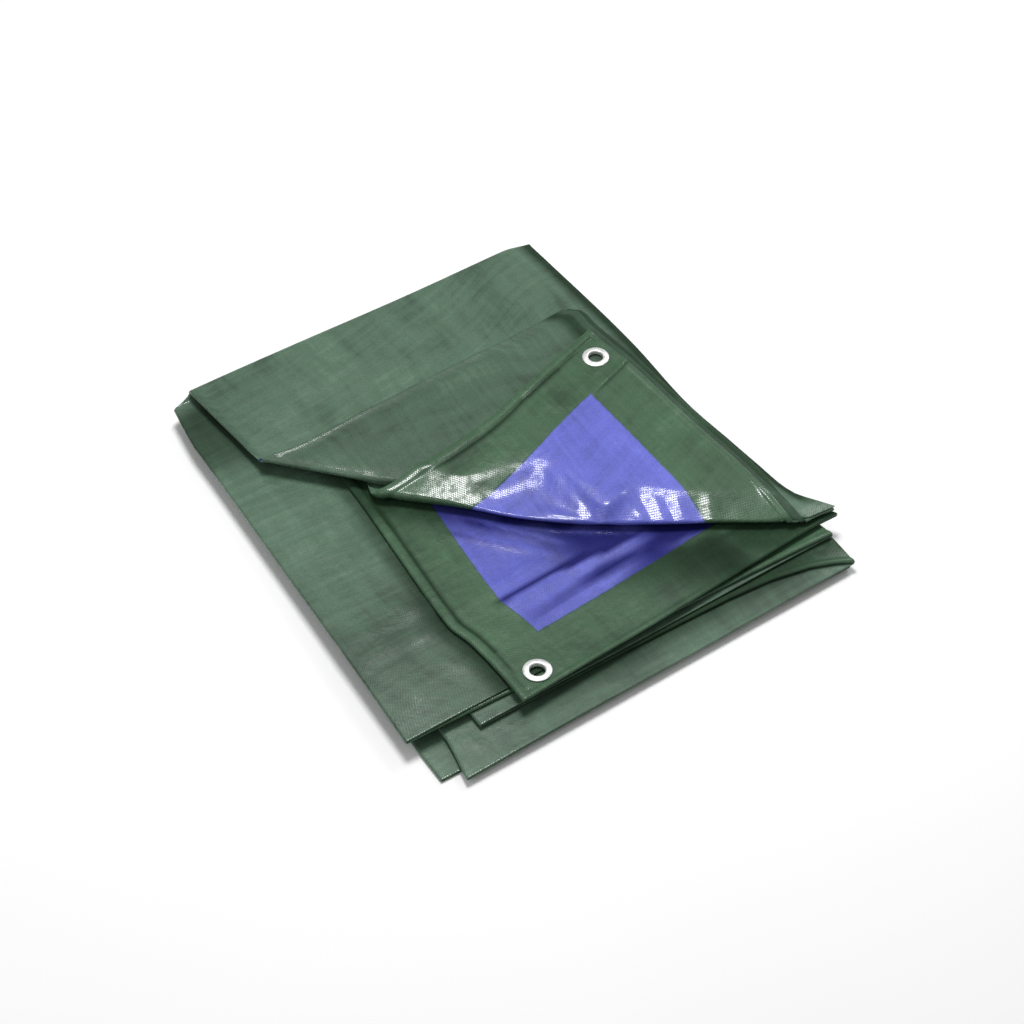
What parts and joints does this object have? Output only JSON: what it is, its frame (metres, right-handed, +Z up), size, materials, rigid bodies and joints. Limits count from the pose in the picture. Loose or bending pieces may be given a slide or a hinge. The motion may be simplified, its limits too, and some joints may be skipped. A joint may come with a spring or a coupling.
{
  "type": "folded tarpaulin",
  "caption": "Folded waterproof sheet, green on one side and blue on the other, with one hemmed corner turned back and metal eyelets in its corners.",
  "frame": {"origin": "on the ground under the middle of the folded pad", "axes": "+Z up, +X along the front edge towards the pad's right, +Y from the front edge to the back fold"},
  "size_m": [0.4035, 0.4541, 0.0438],
  "materials": {
    "coated_cloth": "semi-gloss coated woven tape, green outside and blue inside",
    "eyelet_metal": "satin"
  },
  "bodies": {
    "root": {"tarp": "coated_cloth", "corner_square_turned": "coated_cloth", "corner_square_lower": "coated_cloth", "eyelet_turned": "eyelet_metal", "eyelet_lower": "eyelet_metal"}
  },
  "joints": []
}
